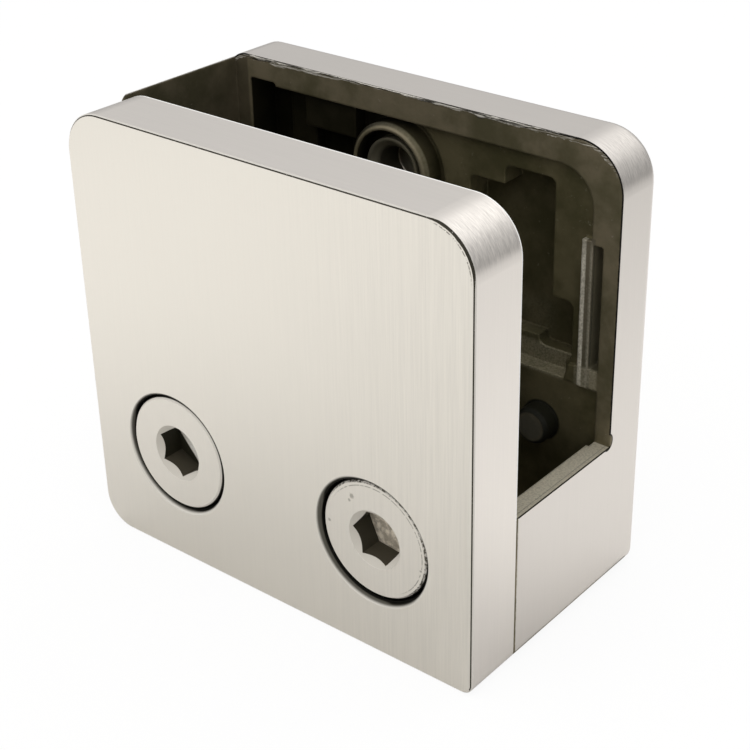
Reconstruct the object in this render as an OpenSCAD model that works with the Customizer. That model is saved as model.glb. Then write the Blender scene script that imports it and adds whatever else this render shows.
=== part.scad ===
// Glass panel clamp with a square front plate
//
// The clamp holds the edge of a glass panel between two plates. The body is one
// casting: a rear plate, a hollow block below the glass and a thin wall on the
// left. The loose front plate is drawn towards the body by two low head screws.
// The base of the block sits flat against the post.
//
// Everything is drawn with x from the left edge, y from the front face to the
// rear and z from the base, and in_frame() puts the origin in the middle of the
// base. All sizes are in millimetres.

/* [Overall] */
// Width of both plates
clamp_w = 50; // [50:0.5:56]
// Height from the base to the top edge
clamp_h = 48; // [48:0.5:54]
// Gap between the plates for the glass and its gaskets
slot_w = 16; // [15:0.5:18]
// Height of the hollow block below the glass
block_h = 16.4; // [16:0.1:17]

/* [Plates] */
// Thickness of the front plate
front_t = 7; // [6.8:0.1:9]
// Thickness of the rear plate
rear_t = 6.2; // [6:0.1:8]
// Thickness of the wall that closes the slot on the left
wall_t = 1; // [0.8:0.1:1.6]
// Radius of the upper left corner
corner_tl = 4.6; // [3:0.1:6]
// Radius of the upper left corner of the body
body_corner_tl = 2.7; // [2:0.1:5]
// Radius of the upper right corner
corner_tr = 5; // [3:0.1:6]
// Radius of the lower left corner
corner_bl = 3.6; // [2.5:0.1:5]
// Radius of the lower right corner
corner_br = 1.3; // [1.3:0.1:3]
// Rounding along the outer edge of the rear face
rear_round = 1.2; // [0.6:0.1:1.2]
// Small break on the sharp outer edges
edge_break = 0.2; // [0.1:0.05:0.4]

/* [Screws] */
// Distance between the two screw axes
screw_pitch = 26.2; // [24:0.1:27]
// Height of the screw axes above the base
screw_z = 12.7; // [12:0.1:12.8]
// Thread diameter
thread_d = 6; // [5:0.5:6]
// Diameter of the low head
head_d = 12.7; // [11:0.1:12.8]
// Height of the low head
head_h = 5; // [4:0.1:5]
// Depth of the left head below the front face
sink_left = 0.1; // [0:0.05:0.6]
// Depth of the right head below the front face
sink_right = 0.4; // [0:0.05:0.6]
// Diameter of the counterbore
counterbore_d = 13.2; // [13.1:0.1:14]
// Radius of the worn lip at the mouth of the counterbore
lip_r = 0.6; // [0.4:0.1:1]
// Length of the shank below the head
shank_l = 10; // [9:0.5:10]
// Width across flats of the hexagon socket
socket_af = 5; // [4:0.5:5]
// Depth of the hexagon socket
socket_depth = 2.8; // [2:0.1:3]
// Turn of the left socket
socket_turn_left = 35; // [0:1:60]
// Turn of the right socket
socket_turn_right = 53; // [0:1:60]

/* [Hollow block] */
// Thickness of the side walls of the block
side_t = 2.2; // [2:0.1:2.6]
// Thickness of the front wall of the block
block_front_t = 3; // [2.5:0.1:4]
// Thickness of the floor of the block
floor_t = 4; // [3:0.1:5]
// Outer diameter of the two tapped bosses
boss_d = 10.4; // [10:0.1:11]
// Length of the bosses from the front of the block
boss_l = 9; // [8.5:0.5:9]
// Diameter of the fixing hole in the floor
fixing_d = 8.4; // [6.4:0.1:9]

/* [Cast relief] */
// Step from the rim down to the raised fields
field_step = 0.8; // [0.6:0.1:1.2]
// Depth of the pockets below the rim
pocket_depth = 3.8; // [3:0.1:4]
// Width of the rim along the top
rim_top = 2.9; // [2.4:0.1:3.4]
// Width of the rim on the left
rim_left = 3; // [2.4:0.1:3.4]
// Width of the rim on the right
rim_right = 3.2; // [3:0.1:3.4]
// Radius in the corners of the pockets
cast_r = 0.8; // [0.4:0.1:1]
// Outer diameter of the ring boss
ring_d = 10.1; // [9.6:0.1:10.6]
// Diameter of the hole in the ring boss
ring_hole_d = 4.4; // [3.6:0.1:4.6]
// Diameter of the locating pip
pip_d = 4; // [3:0.1:4.4]
// Length of the locating pip
pip_l = 2; // [1:0.1:2.5]

/* [Hidden] */
$fn = 96;
plate_reach = 6;
rear_y = front_t + slot_w;
clamp_d = rear_y + rear_t;
screw_left_x = (clamp_w - screw_pitch) / 2;
screw_right_x = screw_left_x + screw_pitch;
screw_xs = [screw_left_x, screw_right_x];
// Axis and depth of the head of each screw
screws = [[screw_left_x, sink_left], [screw_right_x, sink_right]];
shank_clearance = 0.1;
hollow_y = front_t + block_front_t;
fixing_x = clamp_w / 2;
fixing_y = hollow_y + 6.6;

// Levels of the relief, measured from the front face of the clamp
lower_face_y = rear_y + 0.4;
field_y = rear_y + field_step;
pad_y = rear_y + 2.1;
moat_y = rear_y + 2.4;
groove_y = rear_y + 3;
pocket_y = rear_y + pocket_depth;

// Edges of the relief
rim_x0 = rim_left;
rim_x1 = clamp_w - rim_right;
rim_z = clamp_h - rim_top;
ledge_z = block_h + 5.8;
band_x = clamp_w - 1.9;
ring_x = 21.9;
ring_z = clamp_h - 8.8;
moat_r = 6.8;
pip_x = clamp_w - 8.6;
pip_z = block_h + 0.1;

// Puts the origin in the middle of the base.
module in_frame() {
    translate([-clamp_w / 2, -clamp_d / 2, 0])
        children();
}

// Extrudes a shape drawn in x and z from y0 back to y1.
module slab(y0, y1) {
    translate([0, y1, 0])
        rotate([90, 0, 0])
            linear_extrude(y1 - y0)
                children();
}

// A cylinder along y, from y0 back to y1.
module round_y(x, z, d, y0, y1) {
    translate([x, y1, z])
        rotate([90, 0, 0])
            cylinder(h = y1 - y0, d = d);
}

// A cone along y, with diameter d0 at y0 and diameter d1 at y1.
module cone_y(x, z, d0, d1, y0, y1) {
    translate([x, y1, z])
        rotate([90, 0, 0])
            cylinder(h = y1 - y0, d1 = d1, d2 = d0);
}

// A rectangle from corner to corner with round corners.
module round_rect(x0, z0, x1, z1, r) {
    translate([x0 + r, z0])
        square([x1 - x0 - 2 * r, z1 - z0]);
    translate([x0, z0 + r])
        square([x1 - x0, z1 - z0 - 2 * r]);
    for (x = [x0 + r, x1 - r])
        for (z = [z0 + r, z1 - r])
            translate([x, z])
                circle(r);
}

// Section through the edge of a plate: x runs outwards, y from front to rear.
module edge_section(reach, t, front_cut, rear_cut, round_r) {
    intersection() {
        union() {
            square([reach, t - round_r]);
            square([reach - round_r, t]);
            if (round_r > 0)
                translate([reach - round_r, t - round_r])
                    circle(round_r);
        }
        polygon([
            [0, 0],
            [reach - front_cut, 0],
            [reach, front_cut],
            [reach, t - rear_cut],
            [reach - rear_cut, t],
            [0, t]
        ]);
    }
}

// A square plate with four corner radii. Its front face is at y = 0.
module plate(t, left, front_cut, rear_cut, round_r) {
    right = clamp_w - corner_tr;
    corners = [
        [corner_bl, corner_bl, corner_bl],
        [clamp_w - corner_br, corner_br, corner_br],
        [right, clamp_h - corner_tr, corner_tr],
        [left, clamp_h - left, left]
    ];
    // Start, turn and length of the straight stretches between the corners.
    sides = [
        [clamp_w - plate_reach, corner_br, 0, clamp_h - corner_tr - corner_br],
        [right, clamp_h - plate_reach, -90, right - left],
        [plate_reach, clamp_h - left, 180, clamp_h - left - corner_bl],
        [corner_bl, plate_reach, 90, clamp_w - corner_br - corner_bl]
    ];
    for (c = corners)
        translate([c[0], 0, c[1]])
            rotate([-90, 0, 0])
                rotate_extrude()
                    edge_section(c[2], t, front_cut, rear_cut, round_r);
    for (s = sides)
        translate([s[0], 0, s[1]])
            rotate([0, s[2], 0])
                linear_extrude(s[3])
                    edge_section(plate_reach, t, front_cut, rear_cut, round_r);
    translate([plate_reach, 0, plate_reach])
        cube([clamp_w - 2 * plate_reach, t, clamp_h - 2 * plate_reach]);
}

// Cut that rounds the mouth of a counterbore.
module lip_cut(x, z) {
    bore_r = counterbore_d / 2;
    inset = 0.04;
    wear_x = -0.05;
    wear_z = -0.15;
    translate([x + wear_x, 0, z + wear_z])
        rotate([-90, 0, 0])
            rotate_extrude()
                difference() {
                    translate([bore_r - 0.3, -1])
                        square([lip_r + 0.3, lip_r + 1]);
                    translate([bore_r + lip_r - inset, lip_r - inset])
                        circle(lip_r);
                }
}

// Front plate with its two counterbored holes.
module front_plate() {
    color([0.75, 0.74, 0.71])
        in_frame()
            difference() {
                plate(front_t, corner_tl, edge_break, edge_break, 0);
                for (s = screws) {
                    lip_cut(s[0], screw_z);
                    round_y(s[0], screw_z, counterbore_d, -1, s[1] + head_h);
                    round_y(s[0], screw_z, thread_d + 0.6, 1, front_t + 1);
                }
            }
}

// Outline of the casting with its slot, before the relief is cut.
module casting_blank() {
    difference() {
        union() {
            difference() {
                translate([0, front_t, 0])
                    plate(clamp_d - front_t, body_corner_tl, edge_break, 0, rear_round);
                translate([side_t, hollow_y, floor_t])
                    cube([clamp_w - 2 * side_t, lower_face_y - hollow_y, block_h]);
            }
            for (x = screw_xs)
                round_y(x, screw_z, boss_d, front_t + 1, front_t + boss_l);
        }
        translate([wall_t, front_t - 1, block_h])
            cube([clamp_w, slot_w + 1, clamp_h]);
    }
}

// Raised field inside the rim, with a wide curve at the upper right.
module field_shape() {
    corner = 4;
    translate([rim_x0, ledge_z])
        square([rim_x1 - rim_x0, rim_z - ledge_z - corner]);
    translate([rim_x0, ledge_z])
        square([rim_x1 - rim_x0 - corner, rim_z - ledge_z]);
    translate([rim_x1 - corner, rim_z - corner])
        circle(corner);
}

// Middle level round the ring boss, open to the left of it.
module moat_shape() {
    intersection() {
        field_shape();
        union() {
            translate([rim_x0, ledge_z])
                square([ring_x - rim_x0, clamp_h]);
            translate([ring_x, ledge_z])
                square([moat_r, ring_z - ledge_z]);
            translate([ring_x, ring_z])
                circle(moat_r);
        }
    }
}

// Deep pocket on the right, below the tab that hangs from the field.
module right_pocket_shape() {
    round_rect(31.8, 25, 42, 41, cast_r);
    round_rect(36, 39, 42, 43, cast_r);
    round_rect(39.7, 24, 44.5, 30.6, cast_r);
}

// Everything that is cut into the inner face of the rear plate.
module relief_cuts() {
    pad_left = 10.2;
    pad_z = 41.4;
    slab(rear_y - 1, field_y)
        field_shape();
    slab(rear_y - 1, moat_y)
        difference() {
            moat_shape();
            translate([pad_left, pad_z])
                square([ring_x - 4.8 - pad_left, clamp_h]);
        }
    slab(rear_y - 1, pocket_y) {
        round_rect(rim_x0, ledge_z, 6.7, rim_z + 0.4, cast_r / 2);
        round_rect(pad_left, ledge_z, 15.3, pad_z, cast_r);
        right_pocket_shape();
    }
    slab(rear_y - 1, pad_y)
        translate([32.1, ledge_z])
            square([11.8, 4.4]);
    slab(rear_y - 1, groove_y)
        round_rect(46.9, 24.2, band_x, 37.7, 0.3);
    translate([rim_x0, rear_y - 1, block_h - 1])
        cube([band_x - rim_x0, lower_face_y - rear_y + 1, ledge_z - block_h + 1]);
}

// Ring boss with a groove and a countersunk hole, standing in the moat.
module ring_boss() {
    end_edge = 0.5;
    difference() {
        union() {
            cone_y(ring_x, ring_z, ring_d - 2 * end_edge, ring_d, rear_y, rear_y + end_edge);
            round_y(ring_x, ring_z, ring_d, rear_y + end_edge, pocket_y + 0.5);
        }
        difference() {
            round_y(ring_x, ring_z, ring_d - 1.5, rear_y - 1, rear_y + 2);
            round_y(ring_x, ring_z, ring_d - 3.5, rear_y + 0.7, rear_y + 3);
        }
    }
}

// Rib that runs down beside the groove on the right.
module rib() {
    slab(rear_y, groove_y + 0.5)
        translate([45.7, ledge_z - 0.1])
            square([1.2, 15.9]);
    // Foot of the rib, flush with the level below the ledge.
    slab(rear_y + 0.3, groove_y + 0.5)
        polygon([[44, ledge_z - 0.1], [44.4, 23.9], [45.8, 24.1], [47.8, ledge_z - 0.1]]);
}

// Short pip that locates the gasket above the block.
module pip() {
    tip_y = lower_face_y - pip_l;
    cone_y(pip_x, pip_z, pip_d - 0.6, pip_d, tip_y, tip_y + 0.3);
    round_y(pip_x, pip_z, pip_d, tip_y + 0.3, lower_face_y + 0.5);
}

// Tapped holes, fixing hole and the hole in the ring boss.
module body_holes() {
    for (x = screw_xs)
        round_y(x, screw_z, thread_d, front_t - 1, front_t + boss_l + 1);
    translate([fixing_x, fixing_y, -1])
        cylinder(h = floor_t + 2, d = fixing_d);
    round_y(ring_x, ring_z, ring_hole_d, rear_y - 1, pocket_y + 0.8);
    cone_y(ring_x, ring_z, ring_hole_d + 1.8, ring_hole_d, rear_y + 0.6, rear_y + 1.5);
}

// Body casting.
module body() {
    color([0.62, 0.60, 0.55])
        in_frame()
            difference() {
                union() {
                    difference() {
                        casting_blank();
                        relief_cuts();
                    }
                    ring_boss();
                    rib();
                    pip();
                }
                body_holes();
            }
}

// Low head screw with a hexagon socket. The head starts at y = sink.
module screw(x, sink, turn) {
    chamfer = 0.25;
    tip = 0.8;
    seat_y = sink + head_h;
    end_y = seat_y + shank_l;
    shank_d = thread_d - shank_clearance;
    mouth_depth = 0.65;
    in_frame()
        difference() {
            union() {
                cone_y(x, screw_z, head_d - 2 * chamfer, head_d, sink, sink + chamfer);
                round_y(x, screw_z, head_d, sink + chamfer, seat_y);
                round_y(x, screw_z, shank_d, seat_y - 1, end_y - tip);
                cone_y(x, screw_z, shank_d, shank_d - 2 * tip, end_y - tip, end_y);
            }
            translate([x, sink + socket_depth, screw_z])
                rotate([90, -turn, 0])
                    cylinder(h = socket_depth + 1, d = socket_af / cos(30), $fn = 6);
            cone_y(
                x, screw_z, socket_af + 2 * mouth_depth + 0.2, socket_af,
                sink - 0.1, sink + mouth_depth
            );
        }
}

module screw_left() {
    color([0.72, 0.71, 0.69])
        screw(screw_left_x, sink_left, socket_turn_left);
}

module screw_right() {
    color([0.72, 0.71, 0.69])
        screw(screw_right_x, sink_right, socket_turn_right);
}

front_plate();
body();
screw_left();
screw_right();
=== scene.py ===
"""Studio scene of the glass panel clamp: materials, detail pieces, light and camera."""
import math
import random
import bmesh
import bpy
from mathutils import Matrix, Vector


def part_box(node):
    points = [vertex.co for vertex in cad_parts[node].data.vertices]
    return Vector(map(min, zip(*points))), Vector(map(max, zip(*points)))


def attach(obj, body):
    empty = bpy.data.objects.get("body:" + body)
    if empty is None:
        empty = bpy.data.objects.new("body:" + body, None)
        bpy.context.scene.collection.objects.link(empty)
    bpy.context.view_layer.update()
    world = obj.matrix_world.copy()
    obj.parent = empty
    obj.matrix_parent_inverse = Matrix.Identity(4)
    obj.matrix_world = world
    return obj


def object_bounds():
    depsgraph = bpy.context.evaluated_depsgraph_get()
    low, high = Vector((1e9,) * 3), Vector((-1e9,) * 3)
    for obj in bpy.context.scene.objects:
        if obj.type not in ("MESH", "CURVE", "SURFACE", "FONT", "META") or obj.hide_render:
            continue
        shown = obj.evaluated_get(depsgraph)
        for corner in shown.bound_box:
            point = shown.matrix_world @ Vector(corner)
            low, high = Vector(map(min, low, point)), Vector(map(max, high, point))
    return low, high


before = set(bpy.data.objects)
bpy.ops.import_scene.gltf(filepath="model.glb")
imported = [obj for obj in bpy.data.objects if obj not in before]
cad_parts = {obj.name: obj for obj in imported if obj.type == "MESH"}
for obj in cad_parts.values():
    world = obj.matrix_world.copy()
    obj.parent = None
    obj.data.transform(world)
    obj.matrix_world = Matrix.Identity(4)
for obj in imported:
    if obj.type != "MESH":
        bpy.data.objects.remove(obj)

MM = 0.001
CAD_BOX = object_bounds()
LOW, HIGH = (Vector(corner) for corner in CAD_BOX)
SIZE = HIGH - LOW
CENTRE = (LOW + HIGH) / 2

# Landmarks of the part, in metres in the row frame.
PLATE_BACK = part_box("front_plate")[1][1]
RIM_Y = LOW.y + 23 * MM
CAST_END_Y = HIGH.y - 1.7 * MM
BLOCK_TOP = 16.4 * MM
TOP_LEFT_R = {"front_plate": 4.6 * MM, "body": 2.7 * MM}
TOP_RIGHT_R = 5 * MM
BORE_R = 6.6 * MM
LIP_R = 0.6 * MM
HEAD_R = 6.35 * MM
HEAD_H = 5 * MM
MOUTH_R = 3.25 * MM
SOCKET_DEPTH = 2.8 * MM
PITCH = 1 * MM

# Zones of the cast relief: x0, z0, x1, z1 in millimetres from the lower left corner.
RIB = (45.5, 22.2, 47.2, 38.3)
FOOT = (45.2, 21.9, 48.0, 24.4)
LEDGE = (31.9, 21.9, 43.8, 24.3)
PAD = (31.9, 24.3, 40.5, 28.2)
GROOVE = (46.8, 24.2, 48.2, 37.8)
TRAIL = (43.5, 36.0, 46.8, 46.0)

# Places on the clamp: x, z in the same measure.
CORNER_ARC = (44.8, 42.6)
RING = (21.9, 39.2)
PIP = (41.4, 16.5)

# Other distances in millimetres: from the left edge, and above the base.
DIM_FROM, DIM_TO = 31, 18
RIB_LINE_X = 45.7
RIB_FADE_FROM, RIB_FADE_TO = 36, 38.4
CHIP_Z = 17.2

# The burr runs from the first to the last of these x, in millimetres from the left, and is
# thinner between the other two.
BURR_START, BURR_THIN, BURR_FULL, BURR_END = 2.8, 15, 33, 44.6


def x_at(x):
    """Row frame x of a distance in millimetres from the left edge."""
    return LOW.x + x * MM


def z_at(z):
    """Row frame z of a height in millimetres above the base."""
    return LOW.z + z * MM


def axis_at(x, z):
    """A point of the axis along y that lies there, seen from the front."""
    return Vector((x_at(x), 0, z_at(z)))


# ---------------------------------------------------------------- node helpers

class Nodes:
    """Builds one material or world node tree."""

    def __init__(self, tree):
        self.tree = tree
        tree.nodes.clear()

    def add(self, kind, values=(), **settings):
        node = self.tree.nodes.new(kind)
        for name, value in settings.items():
            setattr(node, name, value)
        for name, value in dict(values).items():
            self.put(node.inputs[name], value)
        return node

    def put(self, socket, value):
        if isinstance(value, bpy.types.NodeSocket):
            self.tree.links.new(value, socket)
        else:
            socket.default_value = value

    def math(self, operation, *values):
        node = self.add("ShaderNodeMath", operation=operation)
        for socket, value in zip(node.inputs, values):
            self.put(socket, value)
        return node.outputs[0]

    def product(self, *values):
        result = values[0]
        for value in values[1:]:
            result = self.math("MULTIPLY", result, value)
        return result

    def invert(self, value):
        return self.math("SUBTRACT", 1.0, value)

    def length(self, a, b):
        squares = self.math("ADD", self.product(a, a), self.product(b, b))
        return self.math("SQRT", squares)

    def mix(self, fac, a, b, blend="MIX"):
        node = self.add("ShaderNodeMix", data_type="RGBA", blend_type=blend)
        self.put(node.inputs[0], fac)
        self.put(node.inputs[6], a)
        self.put(node.inputs[7], b)
        return node.outputs[2]

    def blend(self, fac, a, b):
        node = self.add("ShaderNodeMix", data_type="FLOAT")
        self.put(node.inputs[0], fac)
        self.put(node.inputs[2], a)
        self.put(node.inputs[3], b)
        return node.outputs[0]

    def step(self, value, start, end):
        """0 on the start side, 1 on the end side, smooth between."""
        node = self.add("ShaderNodeMapRange", interpolation_type="SMOOTHSTEP")
        self.put(node.inputs[0], value)
        self.put(node.inputs[1], start)
        self.put(node.inputs[2], end)
        return node.outputs[0]

    def band(self, value, low, high, soft):
        """1 between low and high, 0 outside."""
        rise = self.step(value, low - soft, low + soft)
        fall = self.step(value, high - soft, high + soft)
        return self.math("MULTIPLY", rise, self.invert(fall))

    def noise(self, vector, scale, detail, rough, seed):
        """Noise of mean 0.5 with this many cycles a metre."""
        node = self.add("ShaderNodeTexNoise", noise_dimensions="4D")
        self.put(node.inputs["Vector"], vector)
        self.put(node.inputs["W"], seed)
        self.put(node.inputs["Scale"], scale)
        self.put(node.inputs["Detail"], detail)
        self.put(node.inputs["Roughness"], rough)
        return node.outputs["Fac"]

    def around(self, noise, amount, mean):
        """Turns a noise of mean 0.5 into a value that varies by amount about the mean."""
        return self.math("MULTIPLY_ADD", self.math("SUBTRACT", noise, 0.5), amount, mean)

    def stretch(self, vector, scale):
        node = self.add("ShaderNodeMapping", vector_type="POINT")
        self.put(node.inputs["Vector"], vector)
        node.inputs["Scale"].default_value = scale
        return node.outputs[0]

    def split(self, vector):
        return self.add("ShaderNodeSeparateXYZ", {"Vector": vector}).outputs

    def scaled(self, colour, factor):
        grey = self.add("ShaderNodeCombineColor", {
            "Red": factor, "Green": factor, "Blue": factor}).outputs[0]
        return self.mix(1.0, colour, grey, "MULTIPLY")

    def bevel(self, radius, samples=4):
        return self.add("ShaderNodeBevel", {"Radius": radius}, samples=samples).outputs[0]


class Look:
    """Colour, roughness and metal share of a surface, painted over in layers."""

    def __init__(self, n, colour, rough, metal=1.0):
        self.n, self.colour, self.rough, self.metal = n, colour, rough, metal

    def cover(self, mask, colour, rough, metal=1.0):
        """Paints colour, roughness and metal share over the surface where the mask is 1."""
        self.colour = self.n.mix(mask, self.colour, colour)
        self.rough = self.n.blend(mask, self.rough, rough)
        self.metal = self.n.blend(mask, self.metal, metal)

    def finish(self, height, normal):
        """Closes the material; height is the relief in metres."""
        n = self.n
        bump = n.add("ShaderNodeBump", {
            "Strength": 1.0, "Distance": 1.0, "Height": height, "Normal": normal})
        shader = n.add("ShaderNodeBsdfPrincipled", {
            "Base Color": self.colour, "Metallic": self.metal, "Roughness": self.rough,
            "Specular IOR Level": 0.25, "Normal": bump.outputs[0]})
        out = n.add("ShaderNodeOutputMaterial")
        n.tree.links.new(shader.outputs[0], out.inputs["Surface"])


class Spot:
    """Where the shaded point of a CAD node lies, in object space."""

    def __init__(self, n):
        coords = n.add("ShaderNodeTexCoord").outputs
        self.position = coords["Object"]
        self.x, self.y, self.z = n.split(self.position)
        self.normal = n.split(coords["Normal"])
        self.facing = n.math("ABSOLUTE", self.normal[1])


def rgb(r, g, b):
    return (r, g, b, 1.0)


def new_material(name):
    material = bpy.data.materials.new(name)
    material.use_nodes = True
    return material, Nodes(material.node_tree)


def dress(node_name, material):
    """Gives a CAD node one material on all of its slots."""
    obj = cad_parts[node_name]
    if not obj.material_slots:
        obj.data.materials.append(material)
    for slot in obj.material_slots:
        slot.link = "OBJECT"
        slot.material = material


# -------------------------------------------------------------- shared surfaces

PLATE_STEEL = rgb(0.80, 0.762, 0.690)
BODY_STEEL = rgb(0.708, 0.674, 0.611)
SCREW_STEEL = rgb(0.795, 0.757, 0.687)
EDGE_TINT = rgb(0.985, 0.978, 1.010)
DARK = rgb(0.045, 0.041, 0.030)
# Near black painted as shade in joints, recesses and along shaded edges.
SHADE_BLACK = rgb(0.012, 0.011, 0.008)
BROWN_A = rgb(0.052, 0.047, 0.022)
BROWN_B = rgb(0.098, 0.084, 0.046)
CAST_SPECK = rgb(0.22, 0.20, 0.15)
WORN = rgb(0.46, 0.42, 0.31)
# Near white painted as highlights on thin edges.
HIGHLIGHT_WHITE = rgb(0.97, 0.96, 0.93)


def curved_share(n, normal):
    """1 on the round corners between the top and the sides, 0 on the flat faces."""
    return n.product(n.step(n.math("ABSOLUTE", normal[0]), 0.15, 0.5),
                     n.step(n.math("ABSOLUTE", normal[2]), 0.05, 0.35))


def grain(n, spot, curved, seed):
    """Grinding lines: up and down on the front, along the perimeter on the edges."""
    def lines(scale, rough, number):
        return n.noise(n.stretch(spot.position, scale), 1.0, 3.0, rough, seed + number)

    on_edge = n.invert(n.step(spot.facing, 0.5, 0.8))
    upright = lines((4200, 1000, 110), 0.6, 1.0)
    along = lines((130, 4600, 130), 0.65, 2.0)
    short = lines((900, 6000, 900), 0.7, 4.0)
    return n.blend(on_edge, upright, n.blend(curved, along, short)), on_edge


def brushed(n, spot, colour, rough, seed):
    """Ground stainless steel: its look and its relief in metres."""
    curved = curved_share(n, spot.normal)
    lines, on_edge = grain(n, spot, curved, seed)
    broad = n.noise(spot.position, 55.0, 2.0, 0.5, seed + 3.0)
    right = n.step(spot.x, 0.0, HIGH.x)
    depth = n.blend(on_edge, n.blend(right, 0.06, 0.26), 0.09)
    depth = n.blend(curved, depth, 1.10)
    tone = n.product(n.around(lines, depth, 1.0), n.around(broad, 0.04, 1.0))
    roughness = n.around(lines, 0.12, rough)
    relief = n.product(lines, n.blend(curved, 1.6e-6, 8e-6))
    colour = n.mix(on_edge, colour, n.mix(1.0, colour, EDGE_TINT, "MULTIPLY"))
    return Look(n, n.scaled(colour, tone), roughness), relief


def outline_distance(n, spot, left_r):
    """How far a point lies inside the clamp's outline seen from the front, in metres."""
    on_left = n.math("LESS_THAN", spot.x, 0.0)
    radius = n.blend(on_left, TOP_RIGHT_R, left_r)
    half = n.math("SUBTRACT", SIZE.x / 2, radius)
    dx = n.math("MAXIMUM", n.math("SUBTRACT", n.math("ABSOLUTE", spot.x), half), 0.0)
    high = n.math("SUBTRACT", SIZE.z, radius)
    dz = n.math("MAXIMUM", n.math("SUBTRACT", spot.z, high), 0.0)
    return n.math("SUBTRACT", radius, n.length(dx, dz))


def parting_line_shade(n, spot):
    """1 on the thin line round the outside where the block and the front plate meet, painted
    as shade in the joint.
    """
    away = n.math("ABSOLUTE", n.math("SUBTRACT", spot.y, PLATE_BACK))
    close = n.invert(n.step(away, 0.12 * MM, 0.18 * MM))
    outside = n.math("LESS_THAN", spot.facing, 0.7)
    return n.product(close, outside, n.math("LESS_THAN", spot.z, BLOCK_TOP))


def axis_radius(n, spot, centre):
    """Distance from an axis along y, and its parts in x and z."""
    dx = n.math("SUBTRACT", spot.x, centre.x)
    dz = n.math("SUBTRACT", spot.z, centre.z)
    return n.length(dx, dz), dx, dz


def screw_centre(name):
    """Middle of a screw's box and the y of its face."""
    low, high = (Vector(corner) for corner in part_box(name))
    return (low + high) / 2, low.y


def cast_skin(n, position):
    """Brown, slightly rough colour and the relief of an as cast face."""
    patches = n.noise(position, 170.0, 4.0, 0.6, 11.0)
    specks = n.step(n.noise(position, 1900.0, 3.0, 0.6, 13.0), 0.66, 0.74)
    brown = n.mix(n.step(patches, 0.35, 0.65), BROWN_A, BROWN_B)
    brown = n.mix(n.product(specks, 0.35), brown, CAST_SPECK)
    return brown, n.noise(position, 1500.0, 5.0, 0.65, 17.0)


# ------------------------------------------------------------------ front plate

EDGE_PALE = rgb(0.64, 0.61, 0.56)
# Dark painted as shade along the front chamfer.
EDGE_SHADE = rgb(0.060, 0.055, 0.042)
EDGE_SECOND = rgb(0.16, 0.148, 0.12)
EDGE_CHIPS = rgb(0.085, 0.078, 0.062)
LIP_PALE = rgb(0.65, 0.62, 0.56)

# Width in millimetres and grey of the shade on the lip round each screw.
LIP_SHADE = {"screw_left": (0.20, 0.07), "screw_right": (0.28, 0.085)}


def corner_share(n, spot, inset):
    """1 along the middle of the upper right corner of the outline, 0 elsewhere."""
    start = axis_at(*CORNER_ARC)
    past = n.math("MINIMUM", n.math("SUBTRACT", spot.x, start.x),
                  n.math("SUBTRACT", spot.z, start.z))
    near = n.math("LESS_THAN", inset, 1 * MM)
    return n.product(near, n.step(past, 0.0, 1.8 * MM))


def front_edge_wear_and_shade(n, look, spot, inset):
    """Dark line painted as shade on the broken front edge, thicker round the upper right
    corner, where chips and a worn second line double it.
    """
    front = n.math("LESS_THAN", spot.y, LOW.y + 0.5 * MM)
    chips = n.noise(spot.position, 3200.0, 3.0, 0.6, 21.0)
    chamfer = n.product(front, n.band(spot.facing, 0.35, 0.93, 0.05),
                        n.math("LESS_THAN", inset, 0.3 * MM))
    look.cover(chamfer, EDGE_PALE, 0.6, 0.0)
    on_arc = corner_share(n, spot, inset)
    narrow = n.math("LESS_THAN", spot.y,
                    n.blend(on_arc, LOW.y + 0.10 * MM, LOW.y + 0.19 * MM))
    # Line painted as shade on the chamfer, broken by chips.
    look.cover(n.product(chamfer, narrow, n.step(chips, 0.25, 0.38)), EDGE_SHADE, 0.5)
    on_face = n.product(on_arc, n.step(spot.facing, 0.93, 0.96))
    second = n.product(front, on_face, n.band(inset, 0.34 * MM, 0.46 * MM, 0.03 * MM),
                       n.step(chips, 0.44, 0.54))
    look.cover(n.product(second, 0.8), EDGE_SECOND, 0.5)
    wander = n.noise(spot.position, 700.0, 3.0, 0.6, 23.0)
    wide = n.math("SUBTRACT", n.product(wander, 0.36 * MM), inset)
    wide = n.product(front, on_face, n.step(wide, -0.04 * MM, 0.0))
    look.cover(wide, EDGE_CHIPS, 0.5)


def shade_counterbore(n, look, spot, screw):
    """Pale lip with a grey and a black crescent of painted shade at the lower left, above a
    wall painted black as shade.
    """
    reach, grey = LIP_SHADE[screw]
    centre, _ = screw_centre(screw)
    radius, dx, dz = axis_radius(n, spot, centre)
    near = n.math("LESS_THAN", radius, BORE_R + LIP_R + 0.3 * MM)
    look.cover(n.product(near, n.step(spot.facing, 0.998, 0.985)), LIP_PALE, 0.5, 0.0)
    lean = n.math("DIVIDE", n.math("ADD", n.product(dx, -0.8), n.product(dz, -0.6)), radius)
    past = n.math("SUBTRACT", radius, BORE_R)
    wide = n.blend(n.step(lean, -0.7, -0.05), 0.08 * MM, reach * MM)
    shade = n.step(n.math("SUBTRACT", past, wide), 0.16 * MM, -0.10 * MM)
    look.cover(n.product(near, shade), rgb(grey, grey * 0.93, grey * 0.74), 0.5, 0.0)
    wide = n.blend(n.step(lean, 0.25, 0.75), reach * 0.6 * MM, -0.12 * MM)
    shade = n.step(n.math("SUBTRACT", past, wide), 0.08 * MM, -0.06 * MM)
    look.cover(n.product(near, shade), SHADE_BLACK, 0.6)
    wall = n.step(spot.y, LOW.y + 0.36 * MM, LOW.y + 0.55 * MM)
    look.cover(n.product(near, wall), SHADE_BLACK, 0.6, 0.6)


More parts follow.
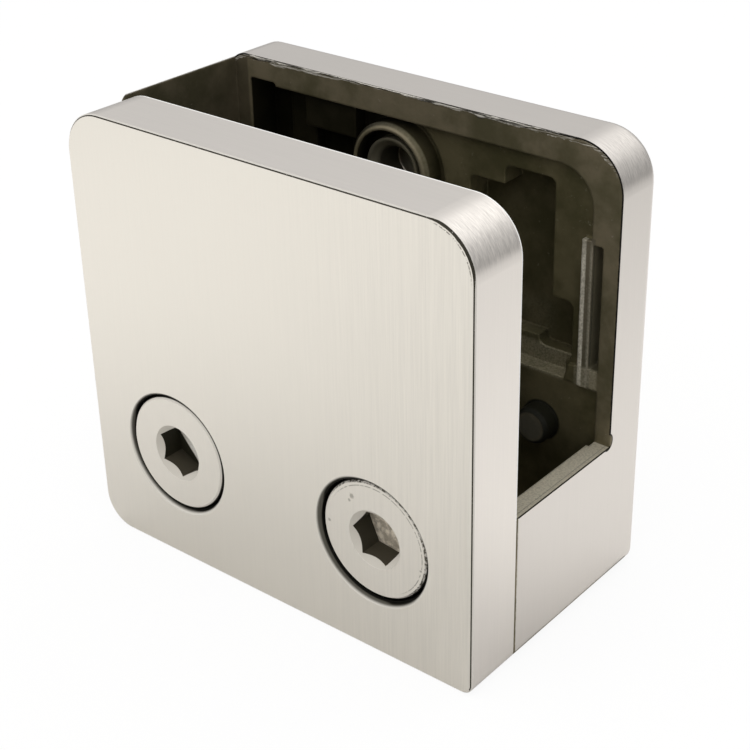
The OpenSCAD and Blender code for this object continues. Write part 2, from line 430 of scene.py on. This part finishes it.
def plate_material():
    """Front plate: brushed, with a front edge painted dark as shade and worn, and dull
    counterbore lips with painted shade.
    """
    material, n = new_material("brushed_plate")
    spot = Spot(n)
    look, relief = brushed(n, spot, PLATE_STEEL, 0.34, 0.0)
    inset = outline_distance(n, spot, TOP_LEFT_R["front_plate"])
    front_edge_wear_and_shade(n, look, spot, inset)

    # Near white line painted as a highlight on the rear edge, and a dark line painted as shade
    # where the plate meets the block.
    rear = n.step(spot.y, PLATE_BACK - 0.36 * MM, PLATE_BACK - 0.30 * MM)
    outer = n.invert(n.step(inset, 0.02 * MM, 0.06 * MM))
    above_block = n.math("GREATER_THAN", spot.z, BLOCK_TOP)
    look.cover(n.product(rear, outer, above_block), HIGHLIGHT_WHITE, 0.5, 0.0)
    look.cover(parting_line_shade(n, spot), SHADE_BLACK, 0.6, 0.5)

    # Slot side, as cast.
    brown, skin = cast_skin(n, spot.position)
    inner = n.product(n.step(spot.y, PLATE_BACK - 0.10 * MM, PLATE_BACK - 0.05 * MM),
                      n.step(inset, 0.22 * MM, 0.30 * MM))
    look.cover(inner, brown, 0.55, 0.55)

    for screw in LIP_SHADE:
        shade_counterbore(n, look, spot, screw)
    look.finish(n.blend(inner, relief, n.product(skin, 3e-5)), n.bevel(0.05 * MM))
    return material


# ------------------------------------------------------------------------- body

# Painted light: the rim is tinted lighter and bluer than the cast.
RIM_LIGHT_TINT = rgb(1.12, 1.10, 1.30)
RIB_WORN = rgb(0.64, 0.60, 0.50)
BLOCK_TOP_PALE = rgb(0.72, 0.665, 0.535)
# Ring hole painted dark as shade.
RING_HOLE_SHADE = rgb(0.035, 0.031, 0.020)
# Pip flank painted dark as shade, its end painted greyer as lit.
PIP_FLANK_SHADE = rgb(0.008, 0.008, 0.004)
PIP_END_LIT = rgb(0.15, 0.15, 0.13)
BURR_PALE = rgb(0.74, 0.70, 0.62)
BURR_DARK = rgb(0.035, 0.031, 0.022)

# Painted lightness of the cast levels, and the share left of it by painted shade towards the
# left and on the left wall, and on the rib.
RIM_LEVEL, FIELD_LEVEL, POCKET_LEVEL = 2.2, 1.75, 1.35
FAR_LEFT_SHARE, LEFT_WALL_SHARE, RIB_SHARE = 0.16, 0.62, 0.66


def zone(n, spot, limits, soft):
    """1 inside a rectangle given in millimetres from the lower left corner."""
    x0, z0, x1, z1 = limits
    return n.product(n.band(spot.x, x_at(x0), x_at(x1), soft * MM),
                     n.band(spot.z, z_at(z0), z_at(z1), soft * MM))


def cast_light_and_shade(n, spot, brown):
    """Painted light and shade on the cast: the rim lighter than the fields, the pockets
    darker, most of all on the left.
    """
    on_rim = n.invert(n.step(spot.y, RIM_Y + 0.1 * MM, RIM_Y + 0.3 * MM))
    in_pocket = n.step(spot.y, RIM_Y + 2.6 * MM, RIM_Y + 3.6 * MM)
    # Painted shade: darker towards the left.
    leftward = n.invert(n.step(spot.x, x_at(DIM_TO), x_at(DIM_FROM)))
    leftward = n.product(leftward, n.invert(on_rim))
    # Painted shade on the left wall of the hollow.
    left_wall = n.step(spot.x, LOW.x + 2.9 * MM, LOW.x + 2.6 * MM)
    level = n.blend(on_rim, n.blend(in_pocket, FIELD_LEVEL, POCKET_LEVEL), RIM_LEVEL)
    level = n.product(level, n.blend(leftward, 1.0, FAR_LEFT_SHARE),
                      n.blend(left_wall, 1.0, LEFT_WALL_SHARE))
    brown = n.scaled(brown, level)
    return n.mix(on_rim, brown, n.mix(1.0, brown, RIM_LIGHT_TINT, "MULTIPLY"))


def wear_relief(n, look, spot, inner, rib, raised, speckle):
    """Worn, lighter places: rib and foot, ledge, pad, groove and a trail of specks above."""
    rib_x = x_at(RIB_LINE_X)
    left_line = n.band(spot.x, rib_x - 0.1 * MM, rib_x + 0.50 * MM, 0.10 * MM)
    right_line = n.band(spot.x, rib_x + 0.90 * MM, rib_x + 1.2 * MM, 0.06 * MM)
    share = n.math("MAXIMUM", left_line, n.product(right_line, 0.30))
    share = n.math("MAXIMUM", share, 0.10)
    fading = n.step(spot.z, z_at(RIB_FADE_TO), z_at(RIB_FADE_FROM))
    look.cover(n.product(rib, share, n.blend(speckle, 0.55, 1.0), n.blend(fading, 0.5, 1.0)),
               RIB_WORN, 0.55, 0.15)
    shallow = n.math("LESS_THAN", spot.y, RIM_Y + 2.3 * MM)
    on_cast_side = n.math("LESS_THAN", spot.y, RIM_Y + 4.3 * MM)
    for limits, soft, level, least, most in (
            (FOOT, 0.2, raised, 0.20, 0.45),
            (LEDGE, 0.25, shallow, 0.16, 0.42),
            (PAD, 1.0, on_cast_side, 0.03, 0.10)):
        worn = n.product(zone(n, spot, limits, soft), level)
        look.cover(n.product(worn, n.blend(speckle, least, most)), WORN, 0.55, 0.2)
    groove = n.product(zone(n, spot, GROOVE, 0.05), n.invert(raised))
    look.cover(n.product(groove, inner, 0.35), WORN, 0.6, 0.5)
    scatter = n.step(n.noise(spot.position, 900.0, 4.0, 0.7, 31.0), 0.60, 0.72)
    look.cover(n.product(inner, zone(n, spot, TRAIL, 1.0), scatter, 0.45), WORN, 0.5, 0.6)


def wear_block_top(n, look, spot, speckle):
    """Pale top of the block's right side wall, with two dark lines along its edge."""
    top = n.product(n.step(spot.normal[2], 0.7, 0.9),
                    n.step(spot.x, HIGH.x - 2.4 * MM, HIGH.x - 2.2 * MM),
                    n.band(spot.z, BLOCK_TOP - 0.4 * MM, BLOCK_TOP + 0.4 * MM, 0.05 * MM))
    look.cover(n.product(top, n.blend(speckle, 0.70, 1.0)), BLOCK_TOP_PALE, 0.5, 0.6)
    side_line = n.step(spot.x, HIGH.x - 0.22 * MM, HIGH.x - 0.14 * MM)
    faint_line = n.band(spot.x, HIGH.x - 0.62 * MM, HIGH.x - 0.54 * MM, 0.04 * MM)
    lines = n.math("MAXIMUM", side_line, n.product(faint_line, 0.4))
    look.cover(n.product(top, lines), DARK, 0.6)
    return top


def shade_ring(n, look, spot, inner, proud, speckle):
    """Ring boss: greyer middle, a hole painted dark as shade, and a worn crest with a painted
    highlight at its upper right.
    """
    radius, dx, dz = axis_radius(n, spot, axis_at(*RING))
    middle = n.step(radius, 3.5 * MM, 3.3 * MM)
    look.cover(n.product(middle, inner, 0.30), WORN, 0.55, 0.4)
    hole = n.step(radius, 2.6 * MM, 2.1 * MM)
    look.cover(n.product(hole, inner, 0.8), RING_HOLE_SHADE, 0.6, 0.4)
    crest = n.product(n.band(radius, 4.25 * MM, 5.1 * MM, 0.08 * MM), proud)
    # Painted highlight: the crest is lighter towards the upper right.
    lit = n.blend(n.step(n.math("ADD", dx, dz), -1 * MM, 4 * MM), 0.03, 0.16)
    look.cover(n.product(crest, lit, n.blend(speckle, 0.6, 1.0)), WORN, 0.45, 0.65)


def shade_pip(n, look, spot, inner, proud):
    """Locating pip: flank painted dark as shade and an end painted greyer as lit."""
    radius, _, _ = axis_radius(n, spot, axis_at(*PIP))
    near = n.product(inner, n.math("GREATER_THAN", spot.y, RIM_Y - 2.5 * MM), proud)
    flank = n.product(near, n.band(radius, 1.55 * MM, 2.25 * MM, 0.15 * MM))
    look.cover(flank, PIP_FLANK_SHADE, 0.6, 0.1)
    end = n.product(near, n.step(radius, 1.9 * MM, 1.1 * MM))
    look.cover(n.product(end, 0.55), PIP_END_LIT, 0.6, 0.5)


def rim_edge_burr_and_shade(n, look, spot, inset, ragged):
    """Ragged burr left by grinding along the top, and a thin dark line painted as shade round
    the rim's edge.
    """
    on_rim_edge = n.product(n.step(n.math("MULTIPLY", spot.normal[1], -1.0), 0.3, 0.6),
                            n.band(spot.y, RIM_Y - 0.3 * MM, RIM_Y + 0.2 * MM, 0.05 * MM))
    upper = n.step(spot.z, HIGH.z - 3.2 * MM, HIGH.z - 1.5 * MM)
    scratch = n.noise(n.stretch(spot.position, (260, 1, 5200)), 1.0, 4.0, 0.7, 41.0)
    wander = n.noise(n.stretch(spot.position, (320, 1, 1)), 1.0, 4.0, 0.65, 43.0)
    width = n.math("MULTIPLY_ADD", wander, 1.35 * MM, -0.28 * MM)
    thinner = n.band(spot.x, x_at(BURR_THIN), x_at(BURR_FULL), 4 * MM)
    width = n.product(width, n.blend(thinner, 1.35, 0.75))
    burr = n.product(on_rim_edge, upper, n.math("LESS_THAN", inset, width))
    look.cover(n.product(burr, n.step(scratch, 0.46, 0.58)), BURR_PALE, 0.45, 0.4)
    look.cover(n.product(burr, n.step(scratch, 0.46, 0.38)), BURR_DARK, 0.6, 0.4)
    # Thin line painted as shade round the rim's edge.
    width = n.math("MULTIPLY_ADD", ragged, 0.16 * MM, 0.11 * MM)
    look.cover(n.product(on_rim_edge, n.math("LESS_THAN", inset, width)), SHADE_BLACK, 0.6, 0.4)
    return on_rim_edge


def chip_slot_corner(n, look, spot, on_rim_edge, brown):
    """Small broken place with a dark edge where the rim meets the block on the right."""
    dy = n.math("SUBTRACT", spot.y, RIM_Y - 0.45 * MM)
    dz = n.math("MULTIPLY", n.math("SUBTRACT", spot.z, z_at(CHIP_Z)), 0.9)
    reach = n.length(dy, dz)
    outermost = n.math("GREATER_THAN", spot.x, HIGH.x - MM)
    on_side = n.product(n.step(spot.normal[0], 0.8, 0.95), outermost)
    look.cover(n.product(on_side, n.step(reach, 0.90 * MM, 0.84 * MM)), SHADE_BLACK, 0.6, 0.4)
    on_corner = n.math("MAXIMUM", on_side, n.product(on_rim_edge, outermost))
    look.cover(n.product(on_corner, n.step(reach, 0.75 * MM, 0.69 * MM)), brown, 0.6, 0.5)


def body_material():
    """Brushed outside, brown and rough as cast on every face inside the outline."""
    material, n = new_material("cast_body")
    spot = Spot(n)
    look, relief = brushed(n, spot, BODY_STEEL, 0.36, 5.0)
    inset = outline_distance(n, spot, TOP_LEFT_R["body"])
    ragged = n.noise(n.stretch(spot.position, (1.0, 0.4, 1.0)), 1400.0, 4.0, 0.7, 7.0)
    inner = n.product(n.step(n.around(ragged, 0.10 * MM, inset), 0.03 * MM, 0.08 * MM),
                      n.step(spot.z, 0.25 * MM, 0.35 * MM),
                      n.math("LESS_THAN", spot.y, CAST_END_Y))
    brown, skin = cast_skin(n, spot.position)
    brown = cast_light_and_shade(n, spot, brown)
    raised = n.math("LESS_THAN", spot.y, RIM_Y + 0.5 * MM)
    rib = n.product(zone(n, spot, RIB, 0.1), raised)
    brown = n.scaled(brown, n.blend(rib, 1.0, RIB_SHARE))
    look.cover(inner, brown, 0.52, 0.55)

    speckle = n.step(n.noise(spot.position, 4200.0, 3.0, 0.6, 27.0), 0.36, 0.62)
    proud = n.math("LESS_THAN", spot.y, RIM_Y + 0.6 * MM)
    wear_relief(n, look, spot, inner, rib, raised, speckle)
    top = wear_block_top(n, look, spot, speckle)
    shade_ring(n, look, spot, inner, proud, speckle)
    shade_pip(n, look, spot, inner, proud)
    on_rim_edge = rim_edge_burr_and_shade(n, look, spot, inset, ragged)
    # Dark line painted as shade where the block meets the front plate.
    look.cover(parting_line_shade(n, spot), SHADE_BLACK, 0.6, 0.4)
    chip_slot_corner(n, look, spot, on_rim_edge, brown)
    bump = n.blend(inner, relief, n.product(skin, n.blend(top, 4e-5, 1.1e-4)))
    look.finish(bump, n.bevel(n.blend(inner, 0.06 * MM, 0.30 * MM), 6))
    return material


# ----------------------------------------------------------------------- screws

HEAD_EDGE = rgb(0.75, 0.71, 0.64)
HEAD_RING = rgb(0.24, 0.22, 0.18)
HEAD_SCUFF = rgb(0.17, 0.155, 0.125)
# Head's side painted dark as shade.
HEAD_SIDE_SHADE = rgb(0.03, 0.027, 0.020)
MOUTH = rgb(0.60, 0.565, 0.50)
# Socket walls painted dark as shade, lighter as lit where they face up.
SOCKET_SHADE = rgb(0.021, 0.019, 0.010)
SOCKET_LIT = rgb(0.066, 0.057, 0.039)
DENT = rgb(0.30, 0.28, 0.235)
# Thread roots painted dark as shade.
THREAD_ROOT_SHADE = rgb(0.16, 0.15, 0.13)

# Per screw: whether its rim is worn; colours of the part of the socket's floor that is painted
# lit, the rest being painted shade, and where that part begins, in millimetres; small dents as
# x, z and radius in millimetres.
SCREWS = {
    "screw_left": (False, (rgb(0.95, 0.92, 0.84), rgb(0.80, 0.76, 0.67), -1.45), ()),
    "screw_right": (True, (rgb(0.90, 0.81, 0.66), rgb(0.46, 0.40, 0.31), -3.0), (
        (35.42, 16.67, 0.34), (35.1, 16.1, 0.22), (32.48, 12.79, 0.24), (43.66, 11.55, 0.13))),
}


class Head:
    """Distances of the shaded point from a screw's axis and from its face."""

    def __init__(self, n, spot, name):
        centre, face = screw_centre(name)
        self.radius, self.dx, self.dz = axis_radius(n, spot, centre)
        self.below = n.math("SUBTRACT", spot.y, face)


def head_wear_and_shade(n, look, head, worn, fine):
    """Pale chamfer, scuffed at the upper right of a worn head, and a side painted dark as
    shade.
    """
    chamfer = n.product(n.step(head.radius, HEAD_R - 0.30 * MM, HEAD_R - 0.24 * MM),
                        n.math("LESS_THAN", head.below, 0.27 * MM))
    look.cover(chamfer, HEAD_EDGE, 0.6, 0.0)
    if worn:
        upper_right = n.step(n.math("ADD", head.dx, head.dz), -3 * MM, 2 * MM)
        ring = n.band(head.radius, HEAD_R - 0.62 * MM, HEAD_R - 0.52 * MM, 0.03 * MM)
        ring = n.product(ring, upper_right, n.step(fine, 0.38, 0.50))
        look.cover(n.product(ring, 0.7), HEAD_RING, 0.5)
        scuffed = n.product(chamfer, upper_right, n.step(fine, 0.42, 0.56))
        look.cover(scuffed, HEAD_SCUFF, 0.5)
    side = n.step(head.radius, HEAD_R - 0.11 * MM, HEAD_R - 0.06 * MM)
    look.cover(side, HEAD_SIDE_SHADE, 0.5, 0.4)


def shade_socket(n, look, spot, head, floor_tones):
    """Pale mouth with a rim painted as a highlight, walls painted dark as shade and lighter
    where they face up, and a floor painted lit on one side.
    """
    mouth = n.product(n.math("LESS_THAN", head.radius, MOUTH_R + 0.05 * MM),
                      n.step(head.below, 0.01 * MM, 0.05 * MM))
    look.cover(mouth, MOUTH, 0.6, 0.0)
    # Ring painted as a highlight on the mouth's rim.
    rim_line = n.product(mouth, n.step(head.radius, MOUTH_R - 0.12 * MM, MOUTH_R - 0.07 * MM))
    look.cover(rim_line, HIGHLIGHT_WHITE, 0.5, 0.0)
    inside = n.math("LESS_THAN", head.radius, MOUTH_R)
    dark = n.mix(n.step(spot.normal[2], 0.0, 0.8), SOCKET_SHADE, SOCKET_LIT)
    look.cover(n.product(inside, n.step(spot.facing, 0.62, 0.50)), dark, 0.5, 0.2)
    floor = n.product(inside,
                      n.step(head.below, SOCKET_DEPTH - 0.6 * MM, SOCKET_DEPTH - 0.4 * MM),
                      n.step(spot.facing, 0.6, 0.7))
    blotch = n.step(n.noise(spot.position, 1300.0, 3.0, 0.6, 57.0), 0.40, 0.62)
    light, deep, start = floor_tones
    # Painted light on one side of the socket's floor, the wall shade on the rest.
    reach = n.math("ADD", n.product(head.dx, 0.76), n.product(head.dz, 0.65))
    lit_part = n.step(reach, (start - 0.1) * MM, (start + 0.1) * MM)
    look.cover(floor, n.mix(lit_part, dark, n.mix(blotch, deep, light)), 0.5, 0.1)


def add_dents(n, look, spot, head, dents, fine):
    for x, z, size in dents:
        away, _, _ = axis_radius(n, spot, axis_at(x, z))
        ragged = n.around(fine, 1.6 * size * MM, away)
        dent = n.invert(n.step(ragged, size * MM * 0.4, size * MM))
        on_face = n.math("LESS_THAN", head.below, 0.05 * MM)
        look.cover(n.product(dent, on_face, 0.65), DENT, 0.5)


def cut_thread(n, look, head, relief):
    """Right hand thread on the shank: roots painted dark as shade, and the relief with its
    ridges.
    """
    turn = n.math("DIVIDE", n.math("ARCTAN2", head.dx, head.dz), 2 * math.pi)
    climb = n.math("SUBTRACT", n.math("DIVIDE", head.below, PITCH), turn)
    ridge = n.math("PINGPONG", climb, 0.5)
    shank = n.product(n.step(head.below, HEAD_H + 0.1 * MM, HEAD_H + 0.3 * MM),
                      n.math("LESS_THAN", head.radius, HEAD_R / 2))
    look.cover(n.product(shank, n.step(ridge, 0.28, 0.05)), THREAD_ROOT_SHADE, 0.5)
    return n.blend(shank, relief, n.product(ridge, 0.6 * MM))


def screw_material(name):
    """Satin turned head, socket painted dark as shade, thread on the shank."""
    worn, floor_tones, dents = SCREWS[name]
    material, n = new_material(name + "_steel")
    spot = Spot(n)
    head = Head(n, spot, name)
    look, relief = brushed(n, spot, SCREW_STEEL, 0.40, 9.0)
    cloud = n.noise(spot.position, 700.0, 4.0, 0.6, 51.0)
    fine = n.noise(spot.position, 3000.0, 3.0, 0.6, 53.0)
    look.colour = n.scaled(look.colour, n.around(cloud, 0.05, 1.0))
    head_wear_and_shade(n, look, head, worn, fine)
    shade_socket(n, look, spot, head, floor_tones)
    add_dents(n, look, spot, head, dents, fine)
    look.finish(cut_thread(n, look, head, relief), n.bevel(0.06 * MM))
    return material


dress("front_plate", plate_material())
dress("body", body_material())
for screw_name in SCREWS:
    dress(screw_name, screw_material(screw_name))


# --------------------------------------------------------------- detail pieces

def burr_material():
    material, n = new_material("burr_metal")
    position = n.add("ShaderNodeTexCoord").outputs["Object"]
    lines = n.noise(n.stretch(position, (300, 3000, 6000)), 1.0, 3.0, 0.6, 61.0)
    colour = n.mix(n.step(lines, 0.42, 0.56), rgb(0.055, 0.050, 0.038), rgb(0.80, 0.76, 0.68))
    look = Look(n, colour, 0.45, 0.4)
    look.finish(n.product(lines, 1e-5), n.bevel(0.02 * MM))
    return material


def burr_sections(dice):
    """Four cornered sections of the burr from left to right, of random width and spacing."""
    start, end = x_at(BURR_START), x_at(BURR_END)
    thin, full = x_at(BURR_THIN), x_at(BURR_FULL)
    top = HIGH.z - 0.03 * MM
    hang = 0.5
    x = start
    while x < end:
        hang = min(max(hang + dice.uniform(-0.06, 0.06), 0.05), 0.50)
        taper = min((end - x) / (6 * MM), (x - start) / (3 * MM) + 0.1, 1.0)
        thick = 1.3 if x < thin or x > full else 0.8
        drop = (hang * thick + dice.uniform(-0.02, 0.02)) * taper * MM
        bulge = dice.uniform(0.06, 0.10) * MM
        yield (
            (x, RIM_Y + 0.05 * MM, top),
            (x, RIM_Y - bulge * 0.6, top - drop * 0.15),
            (x, RIM_Y - bulge, top - drop * 0.6),
            (x + dice.uniform(-0.03, 0.03) * MM, RIM_Y + 0.03 * MM, top - drop - 0.02 * MM),
        )
        x += dice.uniform(0.08, 0.22) * MM


def add_burr():
    """Ragged lip of metal pushed over the rear plate's inner top edge by grinding."""
    mesh = bpy.data.meshes.new("grinding_burr")
    bm = bmesh.new()
    rows = [[bm.verts.new(point) for point in section]
            for section in burr_sections(random.Random(7))]
    for row, after in zip(rows, rows[1:]):
        for side in range(4):
            nxt = (side + 1) % 4
            bm.faces.new((row[side], after[side], after[nxt], row[nxt]))
    bm.faces.new(rows[0])
    bm.faces.new(rows[-1][::-1])
    bmesh.ops.recalc_face_normals(bm, faces=bm.faces)
    bm.to_mesh(mesh)
    bm.free()
    burr = bpy.data.objects.new("grinding_burr", mesh)
    bpy.context.scene.collection.objects.link(burr)
    mesh.materials.append(burr_material())
    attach(burr, "body")


add_burr()


# ----------------------------------------------------------------------- stage

# Painted light and shade of the paper that the clamp mirrors: lightness in front at the right
# and at the left, away from the plate and close to it, beside the clamp, and far away.
PAPER_RIGHT, PAPER_LEFT = 0.82, 0.98
PAPER_OPEN, PAPER_CLOSE = 0.98, 0.83
PAPER_BESIDE, PAPER_FAR = 0.84, 0.30


def floor_tone(n, x, y):
    """Lightness of the paper that the clamp mirrors, with painted light and shade: darker
    close by and far away.
    """
    before = n.blend(n.step(x, 0.0, -0.08), PAPER_RIGHT, PAPER_LEFT)
    # Painted shade on the paper close to the plate's front.
    contact = n.step(y, LOW.y - 0.040, LOW.y)
    before = n.product(before, n.blend(contact, PAPER_OPEN, PAPER_CLOSE))
    beside = n.blend(n.step(x, HIGH.x + 0.008, HIGH.x + 0.045), 1.0, PAPER_BESIDE)
    tone = n.blend(n.step(y, LOW.y, HIGH.y), before, beside)
    away = n.length(n.math("SUBTRACT", x, -0.04), n.math("SUBTRACT", y, -0.05))
    return n.product(tone, n.blend(n.step(away, 0.14, 0.50), 1.0, PAPER_FAR))


def add_floor():
    """White paper, plain white to the camera's own rays but for the clamp's shadow."""
    half = 3.0
    seen_tone, seen_glow = 0.93, 0.9
    mesh = bpy.data.meshes.new("studio_floor")
    corners = [(-half, -half, 0), (half, -half, 0), (half, half, 0), (-half, half, 0)]
    mesh.from_pydata(corners, [], [(0, 1, 2, 3)])
    floor = bpy.data.objects.new("studio_floor", mesh)
    bpy.context.scene.collection.objects.link(floor)
    floor.location.z = LOW.z - 0.02 * MM
    material, n = new_material("studio_white")
    seen = n.add("ShaderNodeLightPath").outputs["Is Camera Ray"]
    x, y, _ = n.split(n.add("ShaderNodeTexCoord").outputs["Object"])
    tone = n.blend(seen, floor_tone(n, x, y), seen_tone)
    paper = n.add("ShaderNodeBsdfDiffuse", {"Color": n.scaled(rgb(1.0, 0.995, 0.985), tone)})
    white = n.add("ShaderNodeEmission", {"Color": rgb(1, 1, 1), "Strength": 1.0})
    both = n.add("ShaderNodeMixShader")
    n.put(both.inputs[0], n.math("MULTIPLY", seen, seen_glow))
    n.tree.links.new(paper.outputs[0], both.inputs[1])
    n.tree.links.new(white.outputs[0], both.inputs[2])
    out = n.add("ShaderNodeOutputMaterial")
    n.tree.links.new(both.outputs[0], out.inputs["Surface"])
    mesh.materials.append(material)


def add_world():
    """Sky that is darker at the horizon, and white to the camera's own rays."""
    horizon, zenith = 0.48, 0.95
    world = bpy.data.worlds.new("studio")
    bpy.context.scene.world = world
    world.use_nodes = True
    n = Nodes(world.node_tree)
    camera_ray = n.add("ShaderNodeLightPath").outputs["Is Camera Ray"]
    up = n.split(n.add("ShaderNodeTexCoord").outputs["Generated"])[2]
    sky = n.blend(n.step(up, 0.05, 0.76), horizon, zenith)
    seen = n.blend(camera_ray, sky, 1.0)
    background = n.add("ShaderNodeBackground", {"Color": rgb(1, 1, 1), "Strength": seen})
    out = n.add("ShaderNodeOutputWorld")
    n.tree.links.new(background.outputs[0], out.inputs["Surface"])


def add_softbox(name, towards, distance, size, power, mirrored):
    """Area lamp that faces the clamp; one that isn't mirrored leaves no glare on metal."""
    light = bpy.data.lights.new(name, "AREA")
    light.shape = "RECTANGLE"
    light.size, light.size_y = size
    light.energy = power
    lamp = bpy.data.objects.new(name, light)
    bpy.context.scene.collection.objects.link(lamp)
    way = Vector(towards).normalized()
    lamp.location = CENTRE + way * distance
    lamp.rotation_euler = way.to_track_quat("Z", "Y").to_euler()
    lamp.visible_glossy = mirrored


def add_camera():
    """Looks down on the front right corner, with a slight shift of the picture."""
    azimuth, elevation, roll = (math.radians(turn) for turn in (37.77, 27.431, -0.178))
    aim = CENTRE + Vector((5.765, 4.794, 0.498)) * MM
    distance = 164.47 * MM
    camera = bpy.data.cameras.new("camera")
    camera.sensor_width = 36.0
    camera.lens = 77.222
    camera.shift_x = -0.08
    camera.shift_y = -0.0533
    camera.clip_start = 0.01
    ahead = Vector((-math.sin(azimuth) * math.cos(elevation),
                    math.cos(azimuth) * math.cos(elevation),
                    -math.sin(elevation)))
    right = ahead.cross(Vector((0, 0, 1))).normalized()
    right = Matrix.Rotation(-roll, 3, ahead) @ right
    up = right.cross(ahead)
    place = Matrix((right, up, -ahead)).transposed().to_4x4()
    place.translation = aim - ahead * distance
    eye = bpy.data.objects.new("camera", camera)
    bpy.context.scene.collection.objects.link(eye)
    eye.matrix_world = place
    bpy.context.scene.camera = eye


add_floor()
add_world()
add_softbox("softbox_back", (0.10, 0.70, 0.72), 0.60, (0.44, 0.45), 0.23, True)
add_softbox("softbox_front", (0.00, -0.45, 0.90), 0.90, (1.00, 1.00), 3.15, False)
add_camera()
bpy.context.scene.view_settings.view_transform = "Standard"

bpy.context.view_layer.update()
